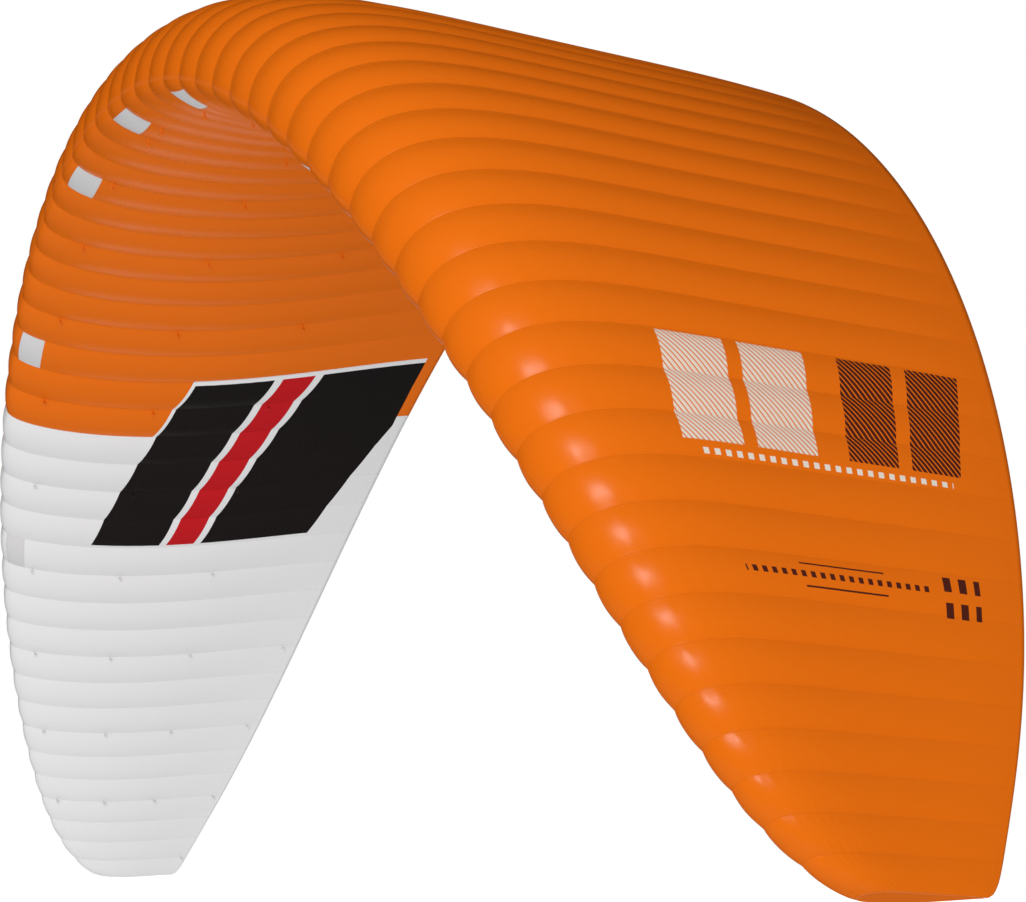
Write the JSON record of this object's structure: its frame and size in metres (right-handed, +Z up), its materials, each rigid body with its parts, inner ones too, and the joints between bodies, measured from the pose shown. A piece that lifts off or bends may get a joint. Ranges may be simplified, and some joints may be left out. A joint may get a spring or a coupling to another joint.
{
  "type": "kitesurf foil kite",
  "caption": "Inflated closed-cell foil kite for kitesurfing: arched ripstop wing with ballooned cells, nose intakes, inner ribs and bridle tabs.",
  "frame": {"origin": "middle of the bore through the two front bridle tabs beside the centre cell", "axes": "+X along the span to the left tip, +Y aft from nose to trailing edge, +Z up"},
  "size_m": [8.596, 2.0881, 3.1229],
  "materials": {
    "orange_cloth": "coated ripstop, satin",
    "white_cloth": "coated ripstop, satin",
    "hem_cloth": "folded and stitched ripstop",
    "netting": "fine knitted net",
    "rib_cloth": "hard coated ripstop",
    "batten_plastic": "extruded strip",
    "seam_tape": "woven tape",
    "webbing": "woven webbing"
  },
  "bodies": {
    "centre": {"diagonal_bands_centre": "rib_cloth", "front_tabs_centre": "webbing", "intake_netting_centre": "netting", "lower_skin_centre": "orange_cloth", "middle_tabs_centre": "webbing", "nose_battens_centre": "batten_plastic", "nose_tape_centre": "seam_tape", "profile_ribs_centre": "rib_cloth", "rear_tabs_centre": "webbing", "trailing_hem_centre": "hem_cloth", "upper_skin_centre": "orange_cloth"},
    "right_wing": {"diagonal_bands_right": "rib_cloth", "front_tabs_right": "webbing", "intake_netting_right": "netting", "lower_skin_right": "white_cloth", "middle_tabs_right": "webbing", "nose_battens_right": "batten_plastic", "nose_tape_right": "seam_tape", "profile_ribs_right": "rib_cloth", "rear_tabs_right": "webbing", "tip_panel_right": "white_cloth", "trailing_hem_right": "hem_cloth", "upper_skin_right": "orange_cloth"},
    "left_wing": {"diagonal_bands_left": "rib_cloth", "front_tabs_left": "webbing", "intake_netting_left": "netting", "lower_skin_left": "white_cloth", "middle_tabs_left": "webbing", "nose_battens_left": "batten_plastic", "nose_tape_left": "seam_tape", "profile_ribs_left": "rib_cloth", "rear_tabs_left": "webbing", "tip_panel_left": "white_cloth", "trailing_hem_left": "hem_cloth", "upper_skin_left": "orange_cloth"},
    "right_corner": {"brake_tabs_right_corner": "webbing", "lower_skin_right_corner": "white_cloth", "profile_ribs_right_corner": "rib_cloth", "tip_panel_right_corner": "white_cloth", "trailing_hem_right_corner": "hem_cloth", "upper_skin_right_corner": "orange_cloth"},
    "left_corner": {"brake_tabs_left_corner": "webbing", "lower_skin_left_corner": "white_cloth", "profile_ribs_left_corner": "rib_cloth", "tip_panel_left_corner": "white_cloth", "trailing_hem_left_corner": "hem_cloth", "upper_skin_left_corner": "orange_cloth"},
    "valve_flap_1": {"valve_flap_1": "white_cloth"},
    "valve_flap_2": {"valve_flap_2": "white_cloth"},
    "valve_flap_3": {"valve_flap_3": "white_cloth"},
    "valve_flap_4": {"valve_flap_4": "white_cloth"},
    "valve_flap_5": {"valve_flap_5": "white_cloth"},
    "valve_flap_6": {"valve_flap_6": "white_cloth"},
    "valve_flap_7": {"valve_flap_7": "white_cloth"}
  },
  "joints": [
    {"name": "right_wing_fold", "type": "hinge", "parent": "centre", "child": "right_wing", "pos_m": [-2.48543, 0.72182, -0.78162], "axis": [0.0332, -0.9984, -0.0467], "range_deg": [0, 20], "stiffness_Nm_per_rad": 60, "springref_deg": -34.38},
    {"name": "left_wing_fold", "type": "hinge", "parent": "centre", "child": "left_wing", "pos_m": [2.48543, 0.72182, -0.78162], "axis": [0.0332, 0.9984, 0.0467], "range_deg": [0, 20], "stiffness_Nm_per_rad": 60, "springref_deg": -34.38},
    {"name": "right_corner_brake", "type": "hinge", "parent": "right_wing", "child": "right_corner", "pos_m": [-3.15551, 1.71561, -1.09925], "axis": [-0.5254, -0.3506, -0.7753], "range_deg": [0, 20], "stiffness_Nm_per_rad": 4, "springref_deg": -34.38},
    {"name": "left_corner_brake", "type": "hinge", "parent": "left_wing", "child": "left_corner", "pos_m": [3.15551, 1.71561, -1.09925], "axis": [-0.5254, 0.3506, 0.7753], "range_deg": [0, 20], "stiffness_Nm_per_rad": 4, "springref_deg": -34.38},
    {"name": "valve_flap_1_hinge", "type": "hinge", "parent": "right_wing", "child": "valve_flap_1", "pos_m": [-3.14874, 0.12315, -1.22982], "axis": [0.7096, 0, 0.7046], "range_deg": [0, 20], "stiffness_Nm_per_rad": 0.05, "springref_deg": -45.84},
    {"name": "valve_flap_2_hinge", "type": "hinge", "parent": "centre", "child": "valve_flap_2", "pos_m": [-2.12346, -0.04652, -0.47518], "axis": [0.8706, 0, 0.492], "range_deg": [0, 20], "stiffness_Nm_per_rad": 0.05, "springref_deg": -45.84},
    {"name": "valve_flap_3_hinge", "type": "hinge", "parent": "centre", "child": "valve_flap_3", "pos_m": [-0.81665, -0.12341, -0.00092], "axis": [0.9811, 0, 0.1933], "range_deg": [0, 20], "stiffness_Nm_per_rad": 0.05, "springref_deg": -45.84},
    {"name": "valve_flap_4_hinge", "type": "hinge", "parent": "centre", "child": "valve_flap_4", "pos_m": [0, -0.13241, 0.0774], "axis": [1, 0, 0], "range_deg": [0, 20], "stiffness_Nm_per_rad": 0.05, "springref_deg": -45.84},
    {"name": "valve_flap_5_hinge", "type": "hinge", "parent": "centre", "child": "valve_flap_5", "pos_m": [0.81665, -0.12341, -0.00092], "axis": [0.9811, 0, -0.1933], "range_deg": [0, 20], "stiffness_Nm_per_rad": 0.05, "springref_deg": -45.84},
    {"name": "valve_flap_6_hinge", "type": "hinge", "parent": "centre", "child": "valve_flap_6", "pos_m": [2.12346, -0.04652, -0.47518], "axis": [0.8706, 0, -0.492], "range_deg": [0, 20], "stiffness_Nm_per_rad": 0.05, "springref_deg": -45.84},
    {"name": "valve_flap_7_hinge", "type": "hinge", "parent": "left_wing", "child": "valve_flap_7", "pos_m": [3.14874, 0.12315, -1.22982], "axis": [0.7096, 0, -0.7046], "range_deg": [0, 20], "stiffness_Nm_per_rad": 0.05, "springref_deg": -45.84}
  ]
}
